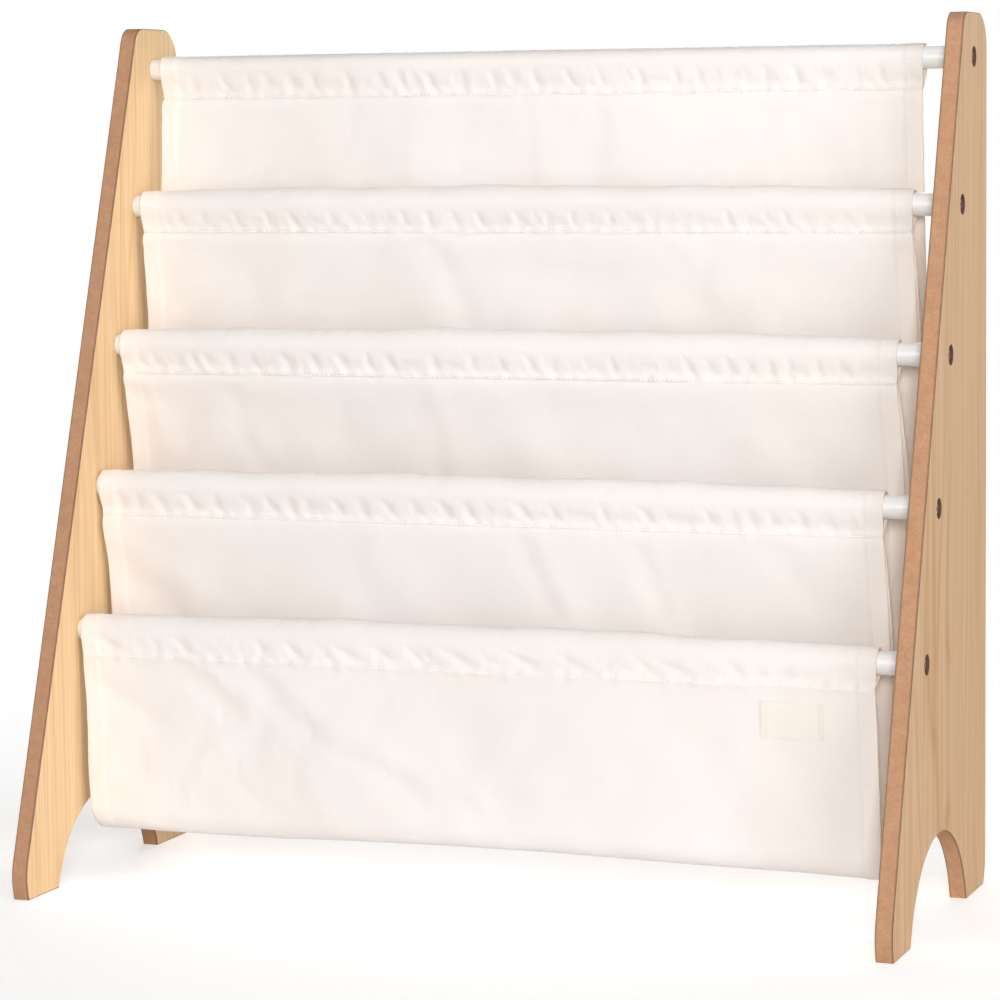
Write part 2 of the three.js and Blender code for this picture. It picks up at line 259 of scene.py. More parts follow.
def set_sockets(tree, sockets, values):
    """Gives each socket its value, which is a number, a colour or another socket."""
    for socket, value in zip(sockets, values):
        if isinstance(value, tuple):
            socket.default_value = (*value, 1)
        elif isinstance(value, (int, float)):
            socket.default_value = value
        else:
            link(tree, value, socket)


def blend_colour(tree, kind, first, second, amount):
    """Two colours mixed."""
    made = add_node(tree, "ShaderNodeMix", data_type="RGBA", blend_type=kind)
    sockets = [made.inputs["Factor"], made.inputs["A"], made.inputs["B"]]
    set_sockets(tree, sockets, (amount, first, second))
    return made.outputs["Result"]


def maths(tree, operation, *values):
    """One sum of numbers or sockets."""
    made = add_node(tree, "ShaderNodeMath", operation=operation)
    set_sockets(tree, made.inputs, values)
    return made.outputs[0]


def split_axes(tree, place):
    axes = add_node(tree, "ShaderNodeSeparateXYZ")
    link(tree, place, axes.inputs[0])
    return axes.outputs


def bump(tree, shader, height, distance, strength):
    made = add_node(tree, "ShaderNodeBump", {"Distance": distance, "Strength": strength})
    link(tree, height, made.inputs["Height"])
    link(tree, made.outputs[0], shader.inputs["Normal"])


def maple_foil(name, pale, deep):
    """Printed maple: pale wood, upright growth lines that wander, and fine fibres."""
    made, tree, shader, place = surface(name, pale, {"Specular IOR Level": 0.025})
    across = split_axes(tree, place)["Y"]
    wander = noise(tree, place, wander_scale, detail=1.5)
    from_middle = maths(tree, "SUBTRACT", across, arch_middle)
    arch = maths(tree, "MULTIPLY", maths(tree, "MULTIPLY", from_middle, from_middle), arch_bend)
    lines = maths(tree, "ADD", maths(tree, "MULTIPLY", across, lines_per_metre),
                  maths(tree, "MULTIPLY", wander, line_wander))
    wave = maths(tree, "PINGPONG", maths(tree, "ADD", lines, arch), 0.5)
    growth = ramp(tree, wave, (0.0, (1, 1, 1)), (0.05, (0.6, 0.6, 0.6)), (0.2, (0, 0, 0)))
    patches = noise(tree, place, patch_scale, detail=2)
    shown = ramp(tree, patches, (0.4, (0.12, 0.12, 0.12)), (0.64, (1, 1, 1)))
    bands = noise(tree, place, band_scale, detail=2)
    ground = ramp(tree, bands, (0.3, deep), (0.7, pale))
    colour = blend_colour(tree, "MULTIPLY", ground, growth_tint,
                          amount=maths(tree, "MULTIPLY", growth, shown))
    strands = noise(tree, place, strand_scale, detail=3)
    medium = ramp(tree, strands, (0.34, (0.87, 0.82, 0.75)), (0.56, (1, 1, 1)))
    colour = blend_colour(tree, "MULTIPLY", colour, medium, amount=0.8)
    fibres = noise(tree, place, fibre_scale, detail=3)
    fine = ramp(tree, fibres, (0.34, (0.89, 0.86, 0.82)), (0.58, (1, 1, 1)))
    colour = blend_colour(tree, "MULTIPLY", colour, fine, amount=0.7)
    link(tree, colour, shader.inputs["Base Color"])
    link(tree, ramp(tree, fibres, (0.2, (0.6, 0.6, 0.6)), (0.8, (0.46, 0.46, 0.46))),
         shader.inputs["Roughness"])
    bump(tree, shader, fibres, distance=0.00004, strength=0.5)
    return made


def raw_fibreboard():
    """Routed fibreboard: brown, softly mottled, with short fibres."""
    made, tree, shader, place = surface("raw_fibreboard", (0.54, 0.31, 0.185),
                                        {"Roughness": 0.9, "Specular IOR Level": 0.05})
    mottle = noise(tree, place, scale=150, detail=3)
    speck = noise(tree, place, scale=(1100, 1100, 550), detail=2)
    ground = ramp(tree, mottle, (0.3, (0.53, 0.29, 0.165)), (0.7, (0.6, 0.337, 0.198)))
    specks = ramp(tree, speck, (0.3, (0.8, 0.78, 0.76)), (0.6, (1, 1, 1)))
    colour = blend_colour(tree, "MULTIPLY", ground, specks, amount=0.7)
    # The edge is a darker brown in a thin line next to each face of the board
    from_middle = maths(tree, "SUBTRACT", maths(tree, "ABSOLUTE", split_axes(tree, place)["X"]),
                        board_middle)
    dark_line = add_node(tree, "ShaderNodeMapRange", {
        "From Min": board_thickness / 2 - dark_line_width,
        "From Max": board_thickness / 2 - dark_line_core_width})
    link(tree, maths(tree, "ABSOLUTE", from_middle), dark_line.inputs["Value"])
    colour = blend_colour(tree, "MIX", colour, dark_line_brown,
                          amount=maths(tree, "MULTIPLY", dark_line.outputs[0], dark_line_strength))
    link(tree, colour, shader.inputs["Base Color"])
    bump(tree, shader, speck, distance=0.00012, strength=0.6)
    return made


def mottled(name, colour, settings, stops, scale, detail):
    """A material whose colour follows soft noise: itself, its tree, shader and noise."""
    made, tree, shader, place = surface(name, colour, settings)
    cloud = noise(tree, place, scale, detail)
    link(tree, ramp(tree, cloud, *stops), shader.inputs["Base Color"])
    return made, tree, shader, cloud


def foil_cut():
    """The thin dark line where the foil and the top of the board are cut."""
    stops = (0.35, (0.19, 0.105, 0.06)), (0.75, (0.33, 0.19, 0.115))
    return mottled("foil_cut", (0.25, 0.14, 0.085), {"Roughness": 0.7}, stops, scale=160, detail=2)[0]


def recess_wall_painted_shade():
    """The wall of a drilled recess, very dark brown as painted shade in the hole."""
    # Far darker than the routed edge: painted shade inside the hole
    stops = (0.3, (0.06, 0.03, 0.016)), (0.75, (0.15, 0.08, 0.045))
    made, tree, shader, recess_mottle = mottled("recess_wall_painted_shade", (0.17, 0.092, 0.054), {"Roughness": 0.9},
                                       stops, scale=900, detail=2)
    bump(tree, shader, recess_mottle, distance=0.0001, strength=0.6)
    return made


def select_only(piece):
    bpy.ops.object.select_all(action="DESELECT")
    piece.select_set(True)
    bpy.context.view_layer.objects.active = piece


def own_copy(node, name):
    """A merged copy of a frame node, as a piece that can be finished."""
    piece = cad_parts[node].copy()
    piece.data = piece.data.copy()
    for key in list(piece.keys()):
        del piece[key]
    piece.parent = None
    piece.name = name
    piece.data.materials.clear()
    scene.collection.objects.link(piece)
    select_only(piece)
    bpy.ops.mesh.customdata_custom_splitnormals_clear()
    bpy.ops.object.mode_set(mode="EDIT")
    bpy.ops.mesh.select_all(action="SELECT")
    bpy.ops.mesh.remove_doubles(threshold=merge_distance)
    bpy.ops.mesh.dissolve_limited(angle_limit=flat_within)
    bpy.ops.object.mode_set(mode="OBJECT")
    return piece


def cut_foil(panel, centre, facing):
    """Sets a narrow ring in round one face of a panel, and wears its outer line back."""
    bpy.ops.object.mode_set(mode="EDIT")
    bpy.ops.mesh.select_all(action="DESELECT")
    bpy.ops.object.mode_set(mode="OBJECT")
    for face in panel.data.polygons:
        outermost = abs(face.center.x - centre) > board_thickness / 2 - foil_cut_depth
        face.select = outermost and face.normal.x * facing > face_normal
    bpy.ops.object.mode_set(mode="EDIT")
    bpy.ops.mesh.quads_convert_to_tris(quad_method="BEAUTY", ngon_method="BEAUTY")
    bpy.ops.mesh.beautify_fill(angle_limit=math.pi)
    bpy.ops.mesh.inset(thickness=foil_cut_width)
    bpy.ops.object.mode_set(mode="OBJECT")
    edge_faces = [face for face in panel.data.polygons if abs(face.normal.x) < edge_normal]
    for index in {index for face in edge_faces for index in face.vertices}:
        vertex = panel.data.vertices[index]
        if abs(vertex.co.x - centre - facing * board_thickness / 2) < foil_cut_depth / 4:
            vertex.co.x -= facing * foil_cut_depth
    panel.data.update()


def finish_of(face, centre):
    """Which of a panel's finishes a face has, by its place and the way it faces."""
    from_bolt = min(math.hypot(face.center.y - y, face.center.z - z) for y, z in recesses)
    if from_bolt < recess_radius + recess_reach:
        return "recess"
    # The outer faces take the darker foil as painted shade, and the inner faces the lighter foil as
    # painted light
    if abs(face.normal.x) > flat_normal:
        return "outside" if face.normal.x * centre > 0 else "inside"
    return "cut" if abs(face.normal.x) > worn_normal else "edge"


board_finishes = {
    # The inside and outside foils are one print, made lighter and darker as painted light and painted
    # shade
    "inside": maple_foil("maple_foil_inside_lit", lit_inside_pale, lit_inside_deep),
    "edge": raw_fibreboard(),
    "cut": foil_cut(),
    # The recess walls are painted near black, as painted shade in the holes
    "recess": recess_wall_painted_shade(),
    "outside": maple_foil("maple_foil_outside_shaded", shaded_outside_pale, shaded_outside_deep),
}
finish_names = list(board_finishes)
recesses = []
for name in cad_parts:
    if name.startswith("bolt_right_"):
        low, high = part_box(name)
        recesses.append(((low.y + high.y) / 2, (low.z + high.z) / 2))
for side, centre in (("left", -board_middle), ("right", board_middle)):
    panel = own_copy(f"side_panel_{side}", f"panel_{side}")
    for finish in board_finishes.values():
        panel.data.materials.append(finish)
    for facing in (-1, 1):
        cut_foil(panel, centre, facing)
    for face in panel.data.polygons:
        face.material_index = finish_names.index(finish_of(face, centre))
    bpy.ops.object.shade_smooth_by_angle(angle=board_smooth_within)
    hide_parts(f"side_panel_{side}")
    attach(panel, "root")

# Tubes
# Five thin-walled steel tubes, 16 mm across, powder-coated white and cut square.
# Each stands between the two panels, and a bolt at each end draws it tight.
tube_wall = 0.0012
tube_end_round = 0.0003
tube_round_steps = 2
tube_facets = 64
tube_smooth_within = math.radians(35)
coat, tree, shader, place = surface("white_powder_coat", (0.84, 0.855, 0.87), {
    "Roughness": 0.4, "Coat Weight": 0.2, "Coat Roughness": 0.22})
shade = noise(tree, place, scale=30, detail=2)
link(tree, ramp(tree, shade, (0.3, (0.82, 0.84, 0.86)), (0.7, (0.86, 0.875, 0.89))),
     shader.inputs["Base Color"])
peel = noise(tree, place, scale=900, detail=1)
bump(tree, shader, peel, distance=0.00005, strength=0.35)


def apply_modifiers(piece):
    select_only(piece)
    for modifier in list(piece.modifiers):
        bpy.ops.object.modifier_apply(modifier=modifier.name)


tube_count = len([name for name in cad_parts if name.startswith("tube_")])
tube_axes = {}
for number in range(1, tube_count + 1):
    low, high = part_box(f"tube_{number}")
    tube_axes[number] = (low + high) / 2
    tube_radius = (high.z - low.z) / 2
    bpy.ops.object.select_all(action="DESELECT")
    bpy.ops.mesh.primitive_cylinder_add(
        vertices=tube_facets, radius=tube_radius, depth=high.x - low.x, end_fill_type="NOTHING",
        location=tube_axes[number], rotation=(0, math.pi / 2, 0))
    tube = bpy.context.object
    tube.name = f"white_tube_{number}"
    bpy.ops.object.transform_apply(location=True, rotation=True, scale=True)
    wall = tube.modifiers.new("wall", "SOLIDIFY")
    wall.thickness = tube_wall
    wall.offset = -1
    ends = tube.modifiers.new("ends", "BEVEL")
    ends.width = tube_end_round
    ends.segments = tube_round_steps
    apply_modifiers(tube)
    bpy.ops.object.shade_smooth_by_angle(angle=tube_smooth_within)
    tube.data.materials.append(coat)
    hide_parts(f"tube_{number}")
    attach(tube, "root")

# Bolts
# Ten zinc-plated bolts with low domed heads and a key hole. Each lies at the bottom
# of a recess in the panel and goes into the threaded plug in the tube's end.
head_radius = 0.0055
shank_radius = 0.003
head_rim = 0.0014
head_height = 0.004
crown_radius = 0.003
key_width = 0.004
key_depth = 0.0022
key_sides = 6
tip_round = 0.0008
dome_steps = 6
bolt_facets = 36
bolt_smooth_within = math.radians(32)
zinc, tree, shader, bloom = mottled(
    "zinc_plate", (0.5, 0.485, 0.46), {"Metallic": 1},
    ((0.3, (0.5, 0.48, 0.45)), (0.7, (0.8, 0.78, 0.75))), scale=420, detail=3)
link(tree, ramp(tree, bloom, (0.3, (0.36, 0.36, 0.36)), (0.7, (0.18, 0.18, 0.18))),
     shader.inputs["Roughness"])
bump(tree, shader, bloom, distance=0.00003, strength=0.4)


def face_outwards():
    """Turns all faces of the active piece outwards."""
    bpy.ops.object.mode_set(mode="EDIT")
    bpy.ops.mesh.select_all(action="SELECT")
    bpy.ops.mesh.normals_make_consistent(inside=False)
    bpy.ops.object.mode_set(mode="OBJECT")


bolt_low, bolt_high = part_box("bolt_right_1")
bolt_length = bolt_high.x - bolt_low.x - head_height
turned_profile = [(shank_radius, tip_round - bolt_length), (shank_radius, 0), (head_radius, 0),
                  (head_radius, head_rim)]
for step in range(1, dome_steps + 1):
    turn = math.pi / 2 * step / dome_steps
    turned_profile.append((crown_radius + (head_radius - crown_radius) * math.cos(turn),
                           head_rim + (head_height - head_rim) * math.sin(turn)))
radius = shank_radius - tip_round
height = -bolt_length
bpy.ops.object.select_all(action="DESELECT")
bpy.ops.mesh.primitive_circle_add(
    vertices=bolt_facets, radius=radius, fill_type="NGON", location=(0, 0, height))
pattern = bpy.context.object
pattern.name = "bolt_pattern"
bpy.ops.object.transform_apply(location=True)
bpy.ops.object.mode_set(mode="EDIT")
bpy.ops.mesh.select_all(action="SELECT")
for next_radius, next_height in turned_profile:
    bpy.ops.mesh.extrude_region_move(TRANSFORM_OT_translate={"value": (0, 0, next_height - height)})
    ratio = next_radius / radius
    bpy.ops.transform.resize(value=(ratio, ratio, 1), center_override=(0, 0, next_height))
    radius = next_radius
    height = next_height
bpy.ops.object.mode_set(mode="OBJECT")
face_outwards()
bpy.ops.object.select_all(action="DESELECT")
bpy.ops.mesh.primitive_cylinder_add(
    vertices=key_sides, radius=key_width / math.sqrt(3), depth=2 * key_depth,
    location=(0, 0, head_height))
key = bpy.context.object
cut = pattern.modifiers.new("key_hole", "BOOLEAN")
cut.object = key
cut.operation = "DIFFERENCE"
cut.solver = "EXACT"
apply_modifiers(pattern)
bpy.data.objects.remove(key)
bpy.ops.object.shade_smooth_by_angle(angle=bolt_smooth_within)
pattern.data.materials.clear()
pattern.data.materials.append(zinc)
for side, facing in (("left", -1), ("right", 1)):
    for number in range(1, tube_count + 1):
        low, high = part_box(f"bolt_{side}_{number}")
        seat = high.x - head_height if facing > 0 else low.x + head_height
        bolt = pattern.copy()
        bolt.data = pattern.data.copy()
        bolt.name = f"domed_bolt_{side}_{number}"
        turn_out = Matrix.Rotation(facing * math.pi / 2, 4, "Y")
        put = Matrix.Translation((seat, (low.y + high.y) / 2, (low.z + high.z) / 2))
        bolt.data.transform(put @ turn_out)
        scene.collection.objects.link(bolt)
        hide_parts(f"bolt_{side}_{number}")
        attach(bolt, "root")
bpy.data.objects.remove(pattern)

# Threaded plugs
# Ten dark moulded plugs, one pressed into each tube end, so that the bolt has
# something to bite on. They are hidden once the shelf is built.
moulded, tree, shader, mould = mottled(
    "moulded_plug", (0.06, 0.06, 0.062), {"Roughness": 0.55},
    ((0.3, (0.045, 0.045, 0.047)), (0.7, (0.085, 0.085, 0.088))), scale=700, detail=2)
bump(tree, shader, mould, distance=0.00005, strength=0.4)
for name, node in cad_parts.items():
    if name.startswith("threaded_plug_"):
        node.data.materials.clear()
        node.data.materials.append(moulded)

# Sling
# One cloth of off-white canvas, hemmed at its two ends. It is sewn into a sleeve
# round each tube and hangs between the sleeves in four pockets. It is made here in
# four lengths, each cut along the hidden seam behind a tube.
canvas_thickness = 0.0007
hem_thickness = 0.0015
hem_width = 0.0125
thread_spacing = 0.00085
cloth_left = -0.2981
cloth_width = 0.581
tube_clearance = 0.0003
packed_thickness = 0.0012
# Sleeves, by the number of their tube: how far their seam lies below and before the
# tube's axis, and how far they stand up off the tube
seam_drops = {1: 0.0212, 2: 0.0188, 3: 0.02, 4: 0.02, 5: 0.0175}
seam_forwards = {1: 0.004, 2: 0.004, 3: 0.004, 4: 0.004, 5: 0.008}
puffs_in_middle = {1: 0.0005, 2: 0.0048, 3: 0.005, 4: 0.005, 5: 0.0048}
puffs_at_ends = {1: 0.0003, 2: 0.0013, 3: 0.0012, 4: 0.0014, 5: 0.001}
puff_widening_share = 0.25
puff_fullness = 0.6
far_from_seam = 1
# Waves along a sleeve's top, as their lengths and their depths as a share of the puff
puff_waves = ((0.19, 0.12), (0.073, 0.08))
# Pockets: the layers' distance at a seam, the round of the bottom fold, and the belly
# of each back layer as a share of the distance between two tubes
pocket_count = tube_count - 1
tube_step = tube_axes[1].y - tube_axes[2].y
layer_spacing = 0.003
seam_half = 0.0005
seam_relax = 0.005
relax_power = 1.5
last_row_drop = 0.0001
fold_radius = 0.009
fold_steps = 16
front_fold_set_back = 0.006
front_fold_drop = 0.004
fold_rear_run = 0.003
fold_rear_rise = 0.006
fold_front_rise = 0.0165
pocket_belly_shares = {1: -0.12, 2: 0.22, 3: 0.535, 4: 0.475}
# Where the cloth ends at each tube, and how its ends are drawn in or stand out below
left_ends = {1: -0.2948, 2: -0.2968, 3: -0.2985, 4: -0.3008, 5: -0.2998}
right_ends = {1: 0.2814, 2: 0.2825, 3: 0.2802, 4: 0.2791, 5: 0.2834}
right_flare = 0.004
left_draw = 0.0028
left_draw_low = 0.0012
low_sharpness = 12
corner_draw = 0.0035
left_pinch = 0.0012
right_pinch = 0.0007
pinch_reach = 0.006
# Slow waves of the hanging layers, and ripples as their lengths along and down a layer
# and their depth
wave_depth = 0.0008
front_wave_depth = 0.0017
wave_length = 0.21
wave_slant = 0.42
wave_fade = 0.045
ripples = ((0.083, 0.21, 0.0004), (0.131, -0.16, 0.0004), (0.057, 0.11, 0.00022),
           (-0.041, 0.074, 0.00014))
ripple_shift = 1.7
layer_shift = 2.3
# Gathers at a seam's stitches, as their lengths and how far they shift from seam to seam
gathers = ((0.0113, 1), (0.0171, -1), (0.029, 2))
gather_depth = 0.00011
gather_reach = 0.006
gather_shift = 1.9

# How far the bottom fold lies above or below its mean place, from the left to the
# right. The pockets behind the front one have a share of it.
fold_line_x = (-0.294, -0.226, -0.166, -0.096, -0.038, 0.047, 0.13, 0.2, 0.281)
fold_line_lift = (0.0004, -0.0005, -0.0008, 0.0018, 0.0021, 0.0019, 0.0006, -0.0004, -0.0022)
fold_line_smoothing = 12
rear_fold_lift_share = 0.6

# Soft folds of each hanging layer, as the places (x, z) that a fold runs through,
# its half width and its depth
fold_fade = 0.01
ridge_share = 0.6
layer_folds = {
    1: [([(-0.14, 0.559), (-0.152, 0.509)], 0.007, 0.00035),
        ([(-0.103, 0.559), (-0.106, 0.494)], 0.007, 0.0003),
        ([(-0.047, 0.556), (-0.061, 0.498)], 0.007, 0.0004),
        ([(-0.009, 0.554), (-0.005, 0.494)], 0.006, 0.00035),
        ([(0.042, 0.555), (0.051, 0.529), (0.045, 0.494)], 0.007, 0.00045),
        ([(0.165, 0.549), (0.178, 0.507)], 0.009, 0.00045),
        ([(0.236, 0.548), (0.239, 0.503)], 0.006, 0.0003)],
    2: [([(-0.077, 0.459), (-0.059, 0.433), (-0.044, 0.397)], 0.009, 0.0007),
        ([(0.041, 0.456), (0.036, 0.424)], 0.007, 0.0003),
        ([(0.094, 0.457), (0.12, 0.436)], 0.006, 0.00025),
        ([(0.142, 0.452), (0.129, 0.414)], 0.008, 0.00045)],
    3: [([(-0.287, 0.34), (-0.284, 0.289)], 0.01, 0.0009),
        ([(-0.211, 0.345), (-0.206, 0.315), (-0.191, 0.29)], 0.009, 0.0006),
        ([(-0.129, 0.35), (-0.125, 0.319)], 0.008, 0.0004),
        ([(-0.069, 0.347), (-0.057, 0.315), (-0.056, 0.295)], 0.011, 0.0007),
        ([(0.035, 0.349), (0.026, 0.309)], 0.005, 0.0003)],
    4: [([(-0.296, 0.226), (-0.278, 0.208), (-0.247, 0.191)], 0.014, 0.0009),
        ([(-0.101, 0.247), (-0.099, 0.209)], 0.01, 0.0004),
        ([(0.021, 0.258), (0.03, 0.231), (0.044, 0.2)], 0.009, 0.0009),
        ([(0.11, 0.243), (0.123, 0.203)], 0.008, 0.00055),
        ([(0.158, 0.262), (0.153, 0.232)], 0.006, 0.0003),
        ([(0.189, 0.261), (0.213, 0.241), (0.227, 0.216)], 0.01, 0.0006)],
    5: [([(-0.166, 0.156), (-0.144, 0.128), (-0.115, 0.105), (-0.077, 0.09), (-0.046, 0.072)],
         0.0095, 0.0012),
        ([(-0.21, 0.15), (-0.182, 0.123)], 0.008, 0.0005),
        ([(-0.28, 0.138), (-0.244, 0.114)], 0.009, 0.0004),
        ([(-0.3, 0.064), (-0.268, 0.047)], 0.012, 0.0008),
        ([(-0.137, 0.081), (-0.124, 0.048)], 0.008, 0.00035),
        ([(-0.012, 0.067), (0.002, 0.051)], 0.008, 0.0006)],
}

# Creases in the front of each sleeve, from the tube down to the seam: the place x in
# millimetres, the lean to the right on the way down, and the share of the full depth
crease_width = 0.004
crease_depths = {1: 0.0008, 2: 0.0008, 3: 0.0009, 4: 0.0009, 5: 0.0014}
crease_middle_drop = 0.002
crease_roundness = 1.2
groove_ridge_share = 0.2
groove_ridge_widths = 1.9
sleeve_creases = {
    1: [(-272, 0.12, 0.5), (-246, 0.51, 1), (-226, 0.18, 0.5), (-211, 0.18, 0.4), (-191, 0.3, 0.6),
        (-175, 0.12, 0.6), (-147, 0.21, 1), (-120, 0.36, 1), (-105, 0.27, 1), (-95, 0.3, 0.5),
        (-83, 0.39, 1.1), (-58, 0.06, 0.5), (-33, 0.36, 0.8), (-19, 0.12, 0.4), (-1, 0.33, 1),
        (25, 0.54, 1), (48, 0.24, 0.5), (78, 0.27, 0.8), (104, 0.06, 0.6), (121, 0.12, 0.4),
        (170, 0.06, 0.4), (193, 0.36, 1), (236, 0.12, 0.6), (253, 0.24, 1)],
    2: [(-268, 0.12, 0.4), (-248, 0.15, 0.6), (-221, 0.12, 0.6), (-196, 0.36, 0.8), (-177, 0.3, 1),
        (-146, 0.06, 0.5), (-90, 0.18, 0.5), (-71, 0.12, 1), (-51, 0.33, 0.9), (-32, 0.3, 1),
        (-2, 0.3, 0.8), (19, 0.12, 0.4), (38, 0.18, 0.4), (66, 0.12, 0.4), (152, 0.12, 0.5),
        (194, 0.18, 0.6), (208, 0.18, 0.4), (250, 0.12, 0.5)],
    3: [(-282, 0.18, 0.5), (-271, 0.42, 0.7), (-252, 0.18, 0.5), (-240, 0.21, 1.1), (-229, 0.42, 1.1),
        (-211, 0.3, 0.8), (-193, 0.12, 0.4), (-166, 0.39, 1), (-145, 0.3, 1), (-123, 0.27, 1),
        (-103, 0.24, 1), (-86, 0.45, 1.1), (-53, 0.12, 0.5), (-24, 0.12, 0.5), (-3, 0.12, 0.4),
        (20, 0.3, 0.7), (36, 0.06, 0.4), (81, 0.12, 0.4), (136, 0.36, 0.7), (164, 0.12, 0.5),
        (179, 0.12, 0.4), (194, 0.24, 0.6), (228, 0.18, 0.5), (245, 0.3, 0.5)],
    4: [(-282, 0.12, 0.6), (-268, 0.06, 0.7), (-250, 0.48, 1), (-225, 0.54, 1), (-206, 0.18, 0.6),
        (-180, 0.24, 0.9), (-164, 0.51, 1), (-148, 0.18, 0.9), (-135, 0.18, 0.6), (-112, 0.54, 1),
        (-93, 0.12, 0.6), (-73, 0.6, 1), (-54, 0.18, 0.7), (-31, 0.48, 1.1), (-13, 0.42, 1),
        (28, 0.54, 0.8), (49, 0.24, 0.4), (86, 0.12, 0.5), (117, 0.42, 0.9), (162, 0.48, 0.7),
        (178, 0.06, 0.5), (192, 0.42, 0.6), (205, 0.18, 0.4), (227, 0.36, 0.6), (245, 0.18, 0.4)],
    5: [(-275, 1.28, 1), (-217, 0.84, 0.8), (-157, 0.64, 0.6), (-133, 0.84, 1), (-110, 0.72, 0.8),
        (-92, 1.28, 1.1), (-64, 1.28, 0.7), (-41, 0.76, 1), (-32, 0.8, 0.8), (-9, 1.52, 1),
        (39, 1.6, 1), (75, 1.6, 0.7), (125, 0.96, 0.6), (147, 1.76, 0.8), (188, 0.8, 0.8),
        (216, -0.8, 0.4), (246, -2.08, 1)],
}

# How far the front of each sleeve is drawn in between its tube and its seam
hollows_at_left = {1: 0.0006, 2: 0.0004, 3: 0.0005, 4: 0.001, 5: 0.0006}
hollows_at_right = {1: 0.0008, 2: 0.0008, 3: 0.0014, 4: 0.0014, 5: 0.002}
hollow_wave_length = 0.087
hollow_wave_share = 0.4
hollow_roundness = 1.5

# Finer creases over the top of the sleeves, which lean the other way
top_creases = {
    1: [], 2: [-185, -165, -68], 3: [-244, -215, -207, -193, -150, -138, -122, -108, -97],
    4: [-36], 5: [-147, -125, -81, -47],
}
top_crease_width = 0.0022
top_crease_depth = 0.0005
top_crease_lean = 0.9
top_crease_middle = math.radians(120)
top_crease_spread = 0.55

# The cloth as a grid: columns, as distances from its left end, and rows, as shares of
# the way from the seam behind a tube up to it, and from the tube down to the seam before
column_spacing = 0.0019
row_spacing = 0.005
hem_columns = [0, 0.001, 0.0035, 0.007, 0.0105, hem_width - 0.0006, hem_width + 0.0006, 0.0155]
inner_count = round((cloth_width - 2 * hem_columns[-1]) / column_spacing)
inner_columns = np.linspace(hem_columns[-1], cloth_width - hem_columns[-1], inner_count)
flat_x = np.concatenate([
    hem_columns[:-1], inner_columns, [cloth_width - place for place in hem_columns[-2::-1]]])
x_on_shelf = cloth_left + flat_x
share_along = flat_x / cloth_width
rise_shares = (0.005, 0.13, 0.3, 0.48, 0.66, 0.84)
over_tube_steps = 15
fall_shares = (0.12, 0.26, 0.4, 0.54, 0.68, 0.8, 0.9, 1)
drops_near_seam = [0, 0.0012, 0.0027, 0.0048, 0.0078, 0.0116]


def ripple(x, length, shift):
    return np.sin(2 * np.pi * x / length + shift)


def slanting_ripple(x, z, length, drop, shift):
    """A ripple that repeats along the cloth and down it."""
    return np.sin(2 * np.pi * (x / length + z / drop) + shift)


def seam_place(number):
    axis = tube_axes[number]
    return axis.y - seam_forwards[number], axis.z - seam_drops[number]


def pocket_shape(number, ahead):
    """How one pocket hangs: where its back and front layer lie at a height."""
    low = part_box(f"sling_pocket_{number}")[0]
    back_y, back_z = seam_place(number)
    front_y, front_z = seam_place(number + 1)
    fold_z = low.z + packed_thickness / 2 + fold_radius - (0 if ahead else front_fold_drop)
    shape = {"fold_z": fold_z, "back_z": back_z, "front_z": front_z}
    if ahead:
        shape["front"] = lambda z: ahead["back"](z) + layer_spacing
        fold_y = shape["front"](fold_z) + fold_radius
    else:
        fold_y = tube_axes[tube_count].y + front_fold_set_back
        travel_front = fold_y - fold_radius - front_y
        shape["front"] = lambda z: front_y + travel_front * (front_z - z) / (front_z - fold_z)
    start = back_y - layer_spacing / 2
    travel = fold_y + fold_radius - start
    belly = pocket_belly_shares[number] * tube_step

    def back(z):
        share = (back_z - z) / (back_z - fold_z)
        return start + travel * share + belly * np.sin(np.pi * share)

    shape["back"] = back
    return shape


pocket_shapes = {}
for number in range(pocket_count, 0, -1):
    pocket_shapes[number] = pocket_shape(number, pocket_shapes.get(number + 1))


def along_fold(x, z, points, width):
    """1 on a fold's line, fading to 0 beside it."""
    nearest = np.full(np.broadcast(x, z).shape, 1.0)
    for (x0, z0), (x1, z1) in zip(points, points[1:]):
        run = (x1 - x0, z1 - z0)
        share = ((x - x0) * run[0] + (z - z0) * run[1]) / (run[0] ** 2 + run[1] ** 2)
        share = np.clip(share, 0, 1)
        nearest = np.minimum(nearest, np.hypot(x - x0 - share * run[0], z - z0 - share * run[1]))
    return np.exp(-(nearest / width) ** 2)


def hang_of_layer(curtain, x, z):
    """How far the layers below one tube stand back at x and z, fading at the seam."""
    seam_z = seam_place(curtain)[1]
    below = np.clip((seam_z - z) / wave_fade, 0, 1)
    near_seam = np.clip((seam_z - z) / fold_fade, 0, 1)
    depth = front_wave_depth if curtain == tube_count else wave_depth
    back = depth * below * slanting_ripple(x, z, wave_length, wave_slant, 0)
    for step, (length, drop, depth) in enumerate(ripples):
        shift = ripple_shift * step + layer_shift * curtain
        back = back + depth * below * slanting_ripple(x, z, length, drop, shift)
    for points, width, depth in layer_folds[curtain]:
        beside = [(px + width, pz + width) for px, pz in points]
        back = back + near_seam * depth * (
            along_fold(x, z, points, width) - ridge_share * along_fold(x, z, beside, width))
    return back


def seam_pucker(number, distance):
    """Small gathers of the cloth on both sides of a seam's stitches."""
    gathered = sum(ripple(x_on_shelf, length, shift * gather_shift * number)
                   for length, shift in gathers)
    return gather_depth * gathered * math.exp(-(distance / gather_reach) ** 2)


